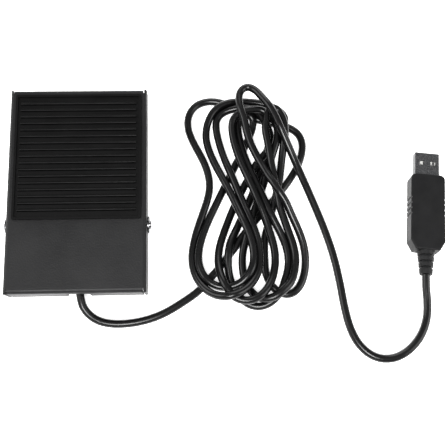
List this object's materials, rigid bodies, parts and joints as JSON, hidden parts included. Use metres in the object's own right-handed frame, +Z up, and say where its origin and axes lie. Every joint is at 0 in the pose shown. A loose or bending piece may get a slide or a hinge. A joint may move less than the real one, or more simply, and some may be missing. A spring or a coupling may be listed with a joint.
{
  "type": "momentary foot switch with data cord",
  "caption": "Black folded-steel foot pedal with a ribbed rubber tread on a sprung hinge, over a snap switch, with a loosely looped data cord and a rectangular data plug.",
  "frame": {"origin": "on the floor under the middle of the pedal itself, without its cord", "axes": "+Z up; +Y from the end where the cord leaves to the toe end, along the pedal; +X to the right, along the hinge pin, towards the cord's hank and plug"},
  "size_m": [0.2104, 0.143, 0.0272],
  "materials": {
    "powder_coat": "fine-textured powder coat",
    "tread_rubber": "ribbed matte rubber",
    "rubber": "matte",
    "chrome_pin": "polished",
    "clip_steel": "phosphated",
    "zinc_steel": "zinc plated",
    "spring_steel": "bright",
    "switch_moulding": "moulded",
    "nylon": "moulded",
    "contact_brass": "plated",
    "cord_jacket": "smooth satin jacket",
    "wire_common_jacket": "insulated wire",
    "wire_open_jacket": "insulated wire",
    "shrink_sleeve": "shrunk",
    "plug_moulding": "fine spark texture",
    "relief_moulding": "matte",
    "plug_steel": "nickel plated",
    "tongue_plastic": "moulded",
    "circuit_board": "solder resist",
    "chip_resin": "moulded",
    "crystal_can": "drawn can",
    "small_parts": "ceramic"
  },
  "bodies": {
    "base": {"base_tray": "powder_coat", "rubber_feet": "rubber", "travel_stops": "rubber", "cord_bush": "rubber", "pivot_pin": "chrome_pin", "pivot_clips": "clip_steel", "switch_bracket": "zinc_steel", "bracket_rivets": "zinc_steel", "clamp_screws": "zinc_steel", "switch_screws": "zinc_steel", "switch_nuts": "zinc_steel", "spring_post": "zinc_steel", "return_spring": "spring_steel", "switch_case": "switch_moulding", "switch_lid": "switch_moulding", "clamp_base": "nylon", "clamp_bridge": "nylon", "terminal_common": "contact_brass", "terminal_open": "contact_brass", "terminal_closed": "contact_brass", "plug_contacts": "contact_brass", "cord_lead": "cord_jacket", "cord_hank": "cord_jacket", "cord_tail": "cord_jacket", "cord_inner": "cord_jacket", "wire_common": "wire_common_jacket", "wire_open": "wire_open_jacket", "terminal_sleeves": "shrink_sleeve", "plug_case_top": "plug_moulding", "plug_case_bottom": "plug_moulding", "plug_relief": "relief_moulding", "plug_shell": "plug_steel", "plug_tongue": "tongue_plastic", "controller_board": "circuit_board", "controller_chip": "chip_resin", "timing_crystal": "crystal_can", "board_parts": "small_parts"},
    "pedal": {"pedal_cover": "powder_coat", "tread_mat": "tread_rubber", "switch_pusher": "nylon", "spring_cup": "zinc_steel"},
    "lever": {"switch_lever": "spring_steel"},
    "plunger": {"switch_plunger": "nylon"},
    "blade": {"contact_blade": "contact_brass"}
  },
  "joints": [
    {"name": "pedal_press", "type": "hinge", "parent": "base", "child": "pedal", "pos_m": [0, -0.0159, 0.0131], "axis": [-1, 0, 0], "range_deg": [0, 5], "stiffness_Nm_per_rad": 0.6, "springref_deg": -14.9, "deforming": ["return_spring"]},
    {"name": "lever_swing", "type": "hinge", "parent": "base", "child": "lever", "pos_m": [0.0142, -0.0036, 0.0143], "axis": [-1, 0, 0], "range_deg": [0, 9.2], "stiffness_Nm_per_rad": 0.002, "springref_deg": -17.19},
    {"name": "plunger_travel", "type": "slide", "parent": "base", "child": "plunger", "axis": [0, 0, -1], "range_m": [0, 0.00085], "stiffness_N_per_m": 0.01, "springref_m": -0.0137},
    {"name": "blade_snap", "type": "hinge", "parent": "base", "child": "blade", "pos_m": [0.0142, -0.0016, 0.0087], "axis": [-1, 0, 0], "range_deg": [0, 7.9], "stiffness_Nm_per_rad": 0.001, "springref_deg": -17.19}
  ],
  "couplings": [
    {"joint": "lever_swing", "follows": "pedal_press", "ratio": 1.83},
    {"joint": "plunger_travel", "follows": "pedal_press", "m_per_rad": 0.0095},
    {"joint": "blade_snap", "follows": "pedal_press", "ratio": 1.55}
  ]
}
